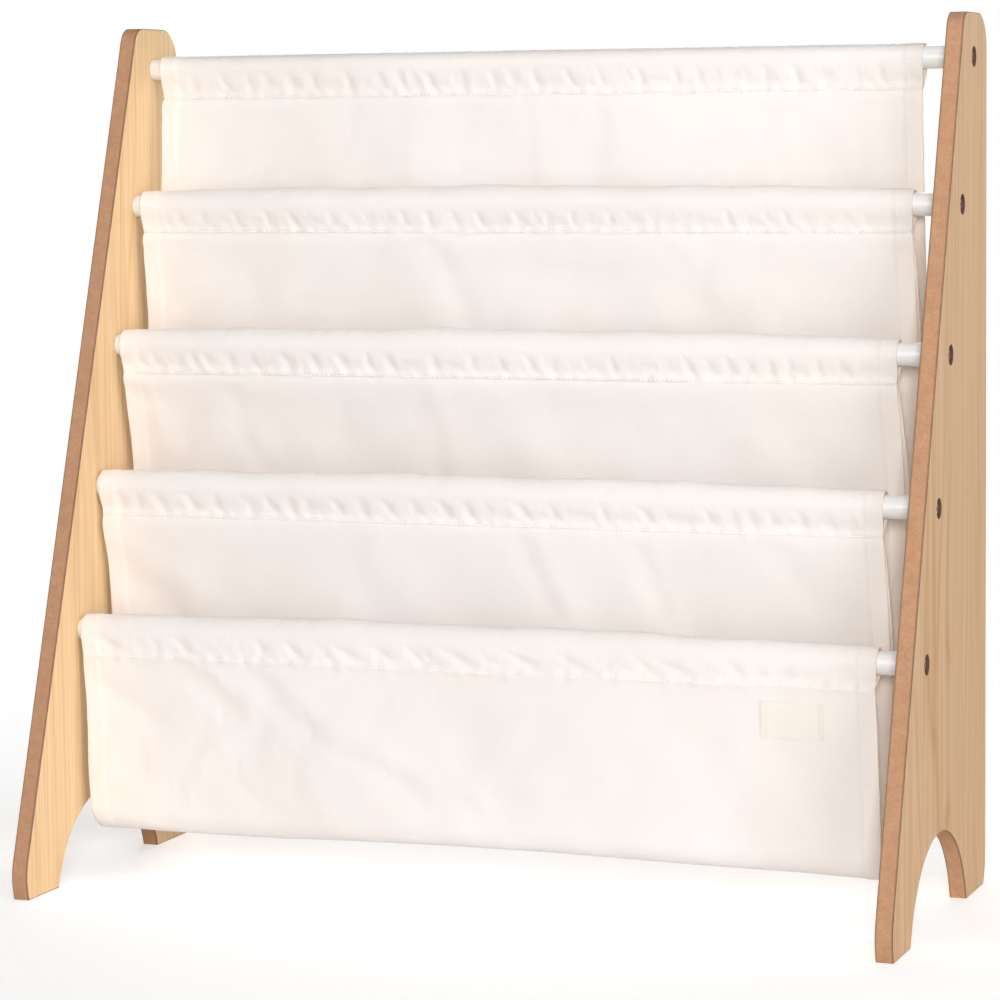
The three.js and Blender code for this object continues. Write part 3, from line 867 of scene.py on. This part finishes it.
def cloth_ends(number, below, distance, share):
    """Where a row starts and ends in x. Close to a seam both ends are drawn in."""
    other = min(number + 1, tube_count) if below else number
    pinch = math.exp(-(distance / pinch_reach) ** 2)
    left = left_ends[number] * (1 - share) + left_ends[other] * share + left_pinch * pinch
    right = right_ends[number] * (1 - share) + right_ends[other] * share - right_pinch * pinch
    if below:
        right = right + right_flare * math.sin(math.pi * share)
    if below and number == pocket_count:
        near_fold = 1 - abs(2 * share - 1)
        left = left + left_draw * math.sin(math.pi / 2 * min(1, 2 * near_fold))
        left = left + left_draw_low * near_fold ** low_sharpness
    return left, right


def groove(off, width):
    """1 in the bottom of a crease, with a low ridge beside it."""
    beside = off - groove_ridge_widths * width
    return np.exp(-(off / width) ** 2) - groove_ridge_share * np.exp(-(beside / width) ** 2)


def crease(number, z):
    """How far a sleeve's front is drawn in by its creases at a height."""
    middle = (tube_axes[number].z + seam_place(number)[1]) / 2 - crease_middle_drop
    drawn = 0.0
    for place, lean, share in sleeve_creases[number]:
        off = (x_on_shelf - place / 1000 - lean * (middle - z)) / math.hypot(1, lean)
        drawn = drawn + crease_depths[number] * share * groove(off, crease_width)
    return drawn


def top_crease(number, angle):
    """How far the cloth over a tube is drawn in at an angle round the tube."""
    window = math.exp(-((angle - top_crease_middle) / top_crease_spread) ** 2)
    drawn = 0.0
    for place in top_creases[number]:
        lean = top_crease_lean * tube_radius * (angle - top_crease_middle)
        off = x_on_shelf - place / 1000 + lean
        drawn = drawn + top_crease_depth * window * groove(off, top_crease_width)
    return drawn


def sleeve_rows(number):
    """Rows round a tube, from the seam behind it over to the seam before it."""
    axis = tube_axes[number]
    seam_y, seam_z = seam_place(number)
    radius = tube_radius + tube_clearance + canvas_thickness / 2
    uneven = 1
    for shift, (length, share) in enumerate(puff_waves, start=1):
        uneven = uneven + share * ripple(x_on_shelf, length, shift * number)
    rise = np.sin(np.pi * share_along) ** puff_fullness
    puff = puffs_at_ends[number] + (puffs_in_middle[number] - puffs_at_ends[number]) * rise
    puff = puff * uneven
    feet = {}
    for name, side in (("rear", 1), ("front", -1)):
        foot = np.array([seam_y - axis.y + side * seam_half, seam_z - axis.z])
        opening = math.acos(radius / np.hypot(*foot))
        feet[name] = (foot, math.atan2(foot[1], foot[0]) + side * opening)
    rear_foot, rear_angle = feet["rear"]
    front_foot, front_angle = feet["front"]
    front_angle += 2 * math.pi if front_angle < rear_angle else 0
    rows = []

    def add(y, z, distance):
        left, right = cloth_ends(number, False, distance, 0)
        rows.append((axis.y + y + seam_pucker(number, distance), axis.z + z, left, right))

    nothing = np.zeros(len(flat_x))
    rear_end = radius * np.array([math.cos(rear_angle), math.sin(rear_angle)])
    reach = np.hypot(*(rear_end - rear_foot))
    for share in rise_shares:
        y, z = rear_foot + (rear_end - rear_foot) * share
        add(y + nothing, z + nothing, reach * share)
    for share in np.linspace(0, 1, over_tube_steps):
        angle = rear_angle + (front_angle - rear_angle) * share
        lift = puff * max(0, math.sin(angle)) ** 2 - top_crease(number, angle)
        widen = puff_widening_share * puff * max(0, math.sin(angle)) * abs(math.cos(angle))
        y = radius * math.cos(angle) + widen * math.copysign(1, math.cos(angle))
        add(y, radius * math.sin(angle) + lift, far_from_seam)
    front_end = radius * np.array([math.cos(front_angle), math.sin(front_angle)])
    reach = np.hypot(*(front_end - front_foot))
    hollow = hollows_at_left[number] + share_along * (
        hollows_at_right[number] - hollows_at_left[number])
    hollow = hollow * (1 + hollow_wave_share * ripple(x_on_shelf, hollow_wave_length, number))
    for share in fall_shares:
        y, z = front_end + (front_foot - front_end) * share
        drawn = nothing
        if share < 1:
            drawn = math.sin(math.pi * share) ** crease_roundness * crease(number, axis.z + z)
            drawn = drawn + math.sin(math.pi * share ** 2) ** hollow_roundness * hollow
        add(y + nothing + drawn, z + nothing, reach * (1 - share))
    return rows


def layer_drops(top, bottom):
    """Distances down a layer, close together at the seam."""
    near = drops_near_seam[-1]
    count = round((top - bottom - near) / row_spacing)
    return drops_near_seam[:-1] + list(np.linspace(near, top - bottom, count + 1))


def layer_row(number, which, distance, share, fold_lift):
    """One row of a pocket's back or front layer, at a distance below its seam."""
    shape = pocket_shapes[number]
    top = shape[f"{which}_z"]
    z = top - distance + fold_lift * (distance / (top - shape["fold_z"]))
    curtain = number if which == "back" else number + 1
    spread = layer_spacing / 2 - seam_half
    if which == "front":
        spread = -seam_half if number == pocket_count else -spread
    relax = spread * math.exp(-(distance / seam_relax) ** relax_power)
    y = shape[which](z) + relax + hang_of_layer(curtain, x_on_shelf, z)
    left, right = cloth_ends(number, True, distance, share)
    return y + seam_pucker(curtain, distance), z, left, right


def cloth_rows(number):
    """All rows of one length of the sling, in the order of the cloth."""
    shape = pocket_shapes[number]
    smoothing = np.ones(2 * fold_line_smoothing + 1) / (2 * fold_line_smoothing + 1)
    fold_lift = np.interp(x_on_shelf, fold_line_x, fold_line_lift)
    fold_lift = np.convolve(np.pad(fold_lift, fold_line_smoothing, "edge"), smoothing, "valid")
    if number < pocket_count:
        fold_lift = fold_lift * rear_fold_lift_share
    bottom_z = shape["fold_z"] - fold_radius
    rows = sleeve_rows(number)
    back_drops = layer_drops(shape["back_z"], bottom_z + fold_rear_rise)
    for distance in back_drops[1:]:
        share = 0.5 * distance / back_drops[-1]
        rows.append(layer_row(number, "back", distance, share, fold_lift))
    front_drops = layer_drops(shape["front_z"], bottom_z + fold_front_rise)
    fore = layer_row(number, "front", front_drops[-1], 0.5, fold_lift)
    rear = rows[-1]
    lowest_y = rear[0] - fold_rear_run
    for step in range(1, fold_steps):
        angle = math.pi * step / fold_steps
        run, rise, end = fold_rear_run, fold_rear_rise, rear
        if step >= fold_steps / 2:
            run, rise, end = lowest_y - fore[0], fold_front_rise, fore
        rows.append((lowest_y + run * math.cos(angle), end[1] - rise * math.sin(angle),
                     rear[2] + corner_draw * math.sin(angle), rear[3]))
    for distance in front_drops[:0:-1]:
        share = 1 - 0.5 * distance / front_drops[-1]
        rows.append(layer_row(number, "front", distance, share, fold_lift))
    if number == pocket_count:
        rows.extend(sleeve_rows(tube_count)[::-1])
    else:
        rows.append(layer_row(number, "front", last_row_drop, 1, fold_lift))
    return rows


def canvas():
    """Cotton canvas: off-white, matt, slightly uneven, with a plain weave."""
    made, tree, shader, place = surface("off_white_canvas", (0.93, 0.885, 0.845), {
        "Roughness": 0.92, "Sheen Weight": 0.12, "Sheen Roughness": 0.5, "Specular IOR Level": 0.25})
    uv = add_node(tree, "ShaderNodeTexCoord").outputs["UV"]
    ground = ramp(tree, noise(tree, place, scale=9, detail=2),
                  (0.3, (0.928, 0.866, 0.822)), (0.7, (0.957, 0.908, 0.876)))
    axes = split_axes(tree, uv)
    threads = 2 * math.pi / thread_spacing
    warp = maths(tree, "SINE", maths(tree, "MULTIPLY", axes["X"], threads))
    weft = maths(tree, "SINE", maths(tree, "MULTIPLY", axes["Y"], threads))
    weave = maths(tree, "MULTIPLY", warp, weft)
    slub = noise(tree, uv, scale=(2600, 240, 1), detail=2)
    slub_across = noise(tree, uv, scale=(240, 2600, 1), detail=2)
    rough = maths(tree, "ADD", maths(tree, "MULTIPLY", weave, 0.32),
                  maths(tree, "ADD", slub, slub_across))
    shade = ramp(tree, rough, (0.2, (0.93, 0.92, 0.91)), (1.0, (1, 1, 1)))
    from_end = maths(tree, "MINIMUM", axes["X"],
                     maths(tree, "SUBTRACT", cloth_width, axes["X"]))
    # The hems are tinted warmer over their width. The cloth is doubled there, and the warm tint is
    # painted light, for the warm light that the wooden panels throw onto the ends of the cloth.
    doubled = maths(tree, "MULTIPLY", maths(tree, "LESS_THAN", from_end, hem_width), 0.15)
    ground = blend_colour(tree, "MIX", ground, (0.965, 0.875, 0.805), amount=doubled)
    colour = blend_colour(tree, "MULTIPLY", ground, shade, amount=0.6)
    link(tree, colour, shader.inputs["Base Color"])
    bump(tree, shader, rough, distance=0.00022, strength=0.55)
    return made


canvas_finish = canvas()


def points_of(piece):
    """The places of a piece's mesh points."""
    points = np.empty(len(piece.data.vertices) * 3)
    piece.data.vertices.foreach_get("co", points)
    return points.reshape(-1, 3)


def lay_cloth(name, rows):
    """A flat grid of cloth laid along its rows, with its flat size as its UV map."""
    bpy.ops.object.select_all(action="DESELECT")
    bpy.ops.mesh.primitive_grid_add(
        x_subdivisions=len(flat_x) - 1, y_subdivisions=len(rows) - 1, size=1)
    piece = bpy.context.object
    piece.name = name
    places = np.empty((len(rows), len(flat_x), 3))
    for index, (y, z, left, right) in enumerate(rows):
        places[index, :, 0] = left + (right - left) * share_along
        places[index, :, 1] = y
        places[index, :, 2] = z
    middle = places[:, len(flat_x) // 2]
    flat_z = np.concatenate([[0], np.cumsum(np.linalg.norm(np.diff(middle, axis=0), axis=1))])
    corners = points_of(piece)
    column = np.rint((corners[:, 0] + 0.5) * (len(flat_x) - 1)).astype(int)
    row = np.rint((corners[:, 1] + 0.5) * (len(rows) - 1)).astype(int)
    piece.data.vertices.foreach_set("co", places[row, column].ravel())
    flat = np.stack([flat_x[column], flat_z[row]], axis=1)
    loop_vertices = np.empty(len(piece.data.loops), dtype=int)
    piece.data.loops.foreach_get("vertex_index", loop_vertices)
    piece.data.uv_layers[0].data.foreach_set("uv", flat[loop_vertices].ravel())
    piece.data.update()
    hem = piece.vertex_groups.new(name="hem")
    from_end = np.minimum(flat[:, 0], cloth_width - flat[:, 0])
    hem.add(np.nonzero(from_end < hem_width)[0].tolist(), 1.0, "REPLACE")
    return piece, places, flat_z[-1]


# The cloth is let hang for a few steps with a little spare length. The rows that are
# sewn are held fast, those on a tube softly and the others hardly, and no point ends
# farther from its place than a limit.
hang_steps = 8
hang_spare = 0.012
hang_gravity = 0.3
hang_grips = (1.0, 0.5, 0.06)
hang_limit = 0.0011
front_hang_limit = 0.0005
cloth_settings = {
    "quality": 4, "mass": 0.0004, "tension_stiffness": 25, "compression_stiffness": 25,
    "shear_stiffness": 8, "bending_stiffness": 0.35, "pin_stiffness": 1,
}


def let_hang(piece, groups, loose_limit):
    """Lets a length of cloth crumple a little about its stitches, tubes and folds."""
    grip = piece.vertex_groups.new(name="grip")
    for group, weight in zip(groups, hang_grips):
        grip.add(group.tolist(), weight, "REPLACE")
    before = points_of(piece)
    cloth = piece.modifiers.new("hang", "CLOTH")
    for setting, value in cloth_settings.items():
        setattr(cloth.settings, setting, value)
    cloth.settings.vertex_group_mass = grip.name
    cloth.settings.shrink_min = -hang_spare
    cloth.settings.effector_weights.gravity = hang_gravity
    cloth.collision_settings.use_collision = False
    cloth.collision_settings.use_self_collision = False
    cloth.point_cache.frame_start = 1
    cloth.point_cache.frame_end = hang_steps
    for step in range(1, hang_steps + 1):
        scene.frame_set(step)
    apply_modifiers(piece)
    scene.frame_set(1)
    moved = points_of(piece) - before
    far = np.linalg.norm(moved, axis=1, keepdims=True)
    limits = np.full((len(before), 1), hang_limit)
    limits[groups[-1]] = loose_limit
    moved = moved * np.tanh(far / limits) * limits / np.maximum(far, 1e-9)
    piece.data.vertices.foreach_set("co", (before + moved).ravel())
    piece.data.update()


def thicken(piece):
    """The cloth's thickness, doubled over in its hems."""
    body = piece.modifiers.new("thickness", "SOLIDIFY")
    body.thickness = hem_thickness
    body.offset = 0
    body.vertex_group = "hem"
    body.thickness_vertex_group = canvas_thickness / hem_thickness
    apply_modifiers(piece)
    face_outwards()
    bpy.ops.object.shade_smooth()
    piece.data.materials.append(canvas_finish)


# One stitch of the thread: a short, low grain, pointed at both ends
stitch_length = 0.0032
stitch_pitch = 0.0034
stitch_thickness = 0.00085
stitch_sink = stitch_thickness * 0.3
seam_stitch_stand = stitch_thickness / 4
stitch_facets = 6
stitch_rings = 4
bpy.ops.object.select_all(action="DESELECT")
bpy.ops.mesh.primitive_uv_sphere_add(segments=stitch_facets, ring_count=stitch_rings, radius=0.5)
stitch = bpy.context.object
bpy.ops.object.mode_set(mode="EDIT")
bpy.ops.mesh.select_all(action="SELECT")
bpy.ops.transform.resize(value=(stitch_thickness, stitch_thickness, stitch_length))
bpy.ops.object.mode_set(mode="OBJECT")
stitch_points = points_of(stitch)
stitch_faces = [list(face.vertices) for face in stitch.data.polygons]
bpy.data.objects.remove(stitch)
thread = mottled("cotton_thread", (0.98, 0.94, 0.89), {"Roughness": 0.75},
                 ((0.3, (0.93, 0.88, 0.82)), (0.6, (0.99, 0.965, 0.93))), scale=3200, detail=1)[0]


def sew(name, lines):
    """Stitches along each line of places, standing off it by the line's normals."""
    points = []
    for line, normals, offset in lines:
        steps = np.linalg.norm(np.diff(line, axis=0), axis=1)
        along = np.concatenate([[0], np.cumsum(steps)])
        marks = np.arange(stitch_pitch / 2, along[-1], stitch_pitch)
        at_marks = [
            np.stack([np.interp(marks, along, values[:, axis]) for axis in range(3)], axis=1)
            for values in (line, np.gradient(line, along, axis=0), normals)]
        for centre, run, out in zip(*at_marks):
            run = run / np.linalg.norm(run)
            out = out - run * np.dot(out, run)
            out = out / np.linalg.norm(out)
            turned = stitch_points @ np.array([np.cross(run, out), out, run])
            points.append(turned + centre + out * offset)
    mesh = bpy.data.meshes.new(name)
    faces = [[corner + len(stitch_points) * index for corner in face]
             for index in range(len(points)) for face in stitch_faces]
    mesh.from_pydata(np.concatenate(points).tolist(), [], faces)
    row = bpy.data.objects.new(name, mesh)
    scene.collection.objects.link(row)
    mesh.materials.append(thread)
    mesh.polygons.foreach_set("use_smooth", [True] * len(mesh.polygons))
    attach(row, "root")
    return row


def surface_normals(places):
    """The cloth's own normals, which point to the side of it that faces out."""
    normals = np.cross(np.gradient(places, axis=0), np.gradient(places, axis=1))
    return normals / np.linalg.norm(normals, axis=2, keepdims=True)


sleeve_row_count = len(sleeve_rows(1))
rows_on_tube = len(rise_shares) + over_tube_steps + 1
hem_stitch_place = 0.0108
seam_stitches = {}
for number in range(1, pocket_count + 1):
    rows = cloth_rows(number)
    cloth, places, cut_length = lay_cloth(f"sling_cloth_{number}", rows)
    last = len(rows) - 1
    on_tube = set(range(1, rows_on_tube))
    # The rows that are sewn: their seam, and the side on which its thread is seen
    sewn = {sleeve_row_count - 1: (number, -1), last: (number + 1, 1)}
    if number == 1:
        sewn[0] = (number, 1)
    if number == pocket_count:
        sewn[len(rows) - sleeve_row_count] = (tube_count, -1)
        on_tube |= set(range(len(rows) - rows_on_tube, last))
    row_of_point = np.repeat(np.arange(len(rows)), len(flat_x))
    groups = [np.nonzero(np.isin(row_of_point, list(chosen)))[0]
              for chosen in ({0, *sewn}, on_tube)]
    groups.append(np.setdiff1d(np.arange(len(row_of_point)), np.concatenate(groups)))
    let_hang(cloth, groups, front_hang_limit if number == pocket_count else hang_limit)
    places = points_of(cloth).reshape(places.shape)
    normals = surface_normals(places)
    thicken(cloth)
    hem_rows = []
    for end in (hem_stitch_place, cloth_width - hem_stitch_place):
        column = int(np.argmin(np.abs(flat_x - end)))
        for side in (1, -1):
            hem_rows.append((places[:, column], side * normals[:, column],
                             hem_thickness / 2 - stitch_sink))
    hem_sewing = sew(f"hem_stitches_{number}", hem_rows)
    for row, (seam_number, facing) in sewn.items():
        out = np.tile([0.0, facing, 0.0], (len(flat_x), 1))
        offset = canvas_thickness / 2 + seam_stitch_stand
        seam_stitches.setdefault(seam_number, []).append((places[row], out, offset))
    covered = [f"sling_sleeve_{number}", f"sling_pocket_{number}"]
    if number == pocket_count:
        covered.append(f"sling_sleeve_{tube_count}")
    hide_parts(*covered)
    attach(cloth, "root")
    front_of_sling = places
for number, lines in seam_stitches.items():
    sew(f"seam_stitches_{number}", lines)

# Label patch
# A small bare patch of cream woven tape, folded in at both ends and sewn to the
# front pocket along them.
label_low, label_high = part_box("label_patch")
label_width = label_high.x - label_low.x
label_height = label_high.z - label_low.z
label_thickness = 0.0006
label_fold = 0.0023
label_turn_in = 0.0045
label_columns = 30
label_rows = 16
label_lift = 0.0004
label_bulge = 0.00035
bulge_from_end = 0.001
bulge_width = 0.0011
label_stitch_margin = 0.0006
label_stitch_places = 9
label_smooth_within = math.radians(60)
rows_behind_label = 20
# The tape, and the tape where its end is folded in behind it, as deep and pale
tape_colours = {
    "cream_tape": ((0.885, 0.83, 0.755), (0.91, 0.86, 0.79)),
    "doubled_tape": ((0.86, 0.795, 0.72), (0.885, 0.825, 0.755)),
}


def front_face_of_sling(x, z):
    """Where the middle of the front pocket's cloth lies in y."""
    last = len(front_of_sling) - sleeve_row_count
    layer = front_of_sling[last - rows_behind_label:last]
    heights = layer[:, :, 2].mean(axis=1)
    column = int(np.argmin(np.abs(x_on_shelf - x)))
    return float(np.interp(z, heights, layer[:, column, 1]))


bpy.ops.object.select_all(action="DESELECT")
bpy.ops.mesh.primitive_grid_add(x_subdivisions=label_columns, y_subdivisions=label_rows, size=1)
label = bpy.context.object
label.name = "bare_label"
for vertex in label.data.vertices:
    share_x = vertex.co.x + 0.5
    x = label_low.x + label_width * share_x
    z = label_low.z + label_height * (vertex.co.y + 0.5)
    from_end = min(share_x, 1 - share_x) * label_width
    bulge = label_bulge * math.exp(-((from_end - bulge_from_end) / bulge_width) ** 2)
    y = front_face_of_sling(x, z) - canvas_thickness / 2 - label_thickness / 2 - label_lift
    vertex.co = (x, y - bulge, z)
body = label.modifiers.new("thickness", "SOLIDIFY")
body.thickness = label_thickness
body.offset = 0
apply_modifiers(label)
face_outwards()
bpy.ops.object.shade_smooth_by_angle(angle=label_smooth_within)
for name, (deep, pale) in tape_colours.items():
    tape, tree, shader, ribs = mottled(name, pale, {"Roughness": 0.8, "Sheen Weight": 0.1},
                                       ((0.3, deep), (0.65, pale)), scale=(300, 1, 2600), detail=1)
    bump(tree, shader, ribs, distance=0.00006, strength=0.5)
    label.data.materials.append(tape)
tape_names = list(tape_colours)
for face in label.data.polygons:
    from_end = min(face.center.x - label_low.x, label_high.x - face.center.x)
    turned_in = from_end < label_turn_in
    face.material_index = tape_names.index("doubled_tape" if turned_in else "cream_tape")
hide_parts("label_patch")
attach(label, "root")
label_lines = []
heights = np.linspace(label_low.z + label_stitch_margin, label_high.z - label_stitch_margin,
                      label_stitch_places)
for x in (label_low.x + label_fold, label_high.x - label_fold):
    line = np.array([(x, front_face_of_sling(x, z), z) for z in heights])
    out = np.tile([0, -1.0, 0], (len(heights), 1))
    offset = canvas_thickness / 2 + label_lift + label_thickness - stitch_sink
    label_lines.append((line, out, offset))
label_sewing = sew("label_stitches", label_lines)
